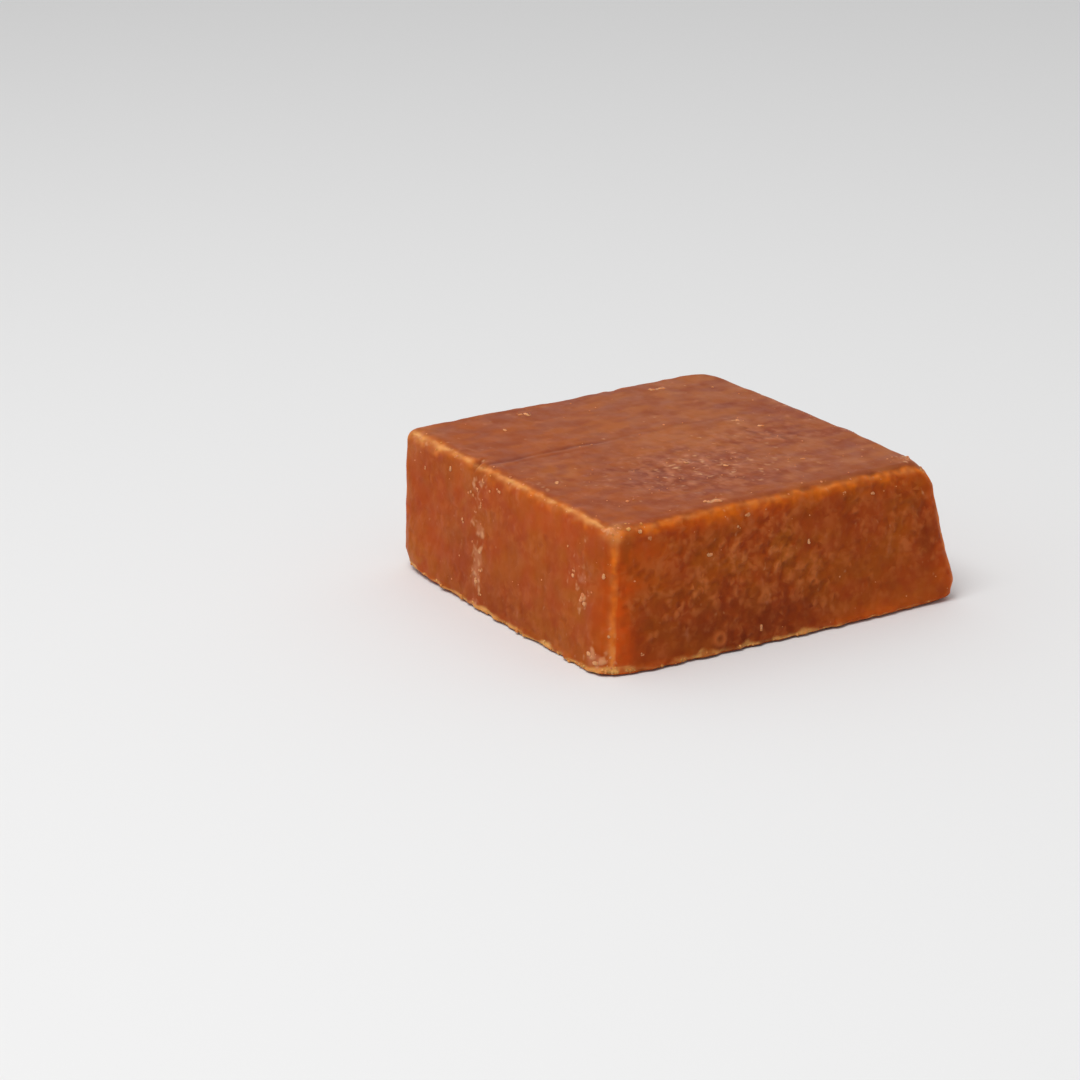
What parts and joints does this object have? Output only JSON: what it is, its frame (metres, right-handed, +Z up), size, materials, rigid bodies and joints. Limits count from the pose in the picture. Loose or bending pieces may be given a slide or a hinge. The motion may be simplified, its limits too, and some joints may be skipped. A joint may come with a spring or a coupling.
{
  "type": "jaggery block",
  "caption": "Small moulded block of solid jaggery: a low square frustum with soft worn edges, lying on its wide side.",
  "frame": {"origin": "on the surface that the block rests on, under the centre of its box", "axes": "+Z up, +X along the front face, -Y out of the front face"},
  "size_m": [0.083, 0.0822, 0.0297],
  "materials": {
    "jaggery": "dull waxy red-brown raw sugar, slightly translucent at its edges, grainy, with pale sugar bloom"
  },
  "bodies": {
    "root": {"jaggery_block": "jaggery"}
  },
  "joints": []
}
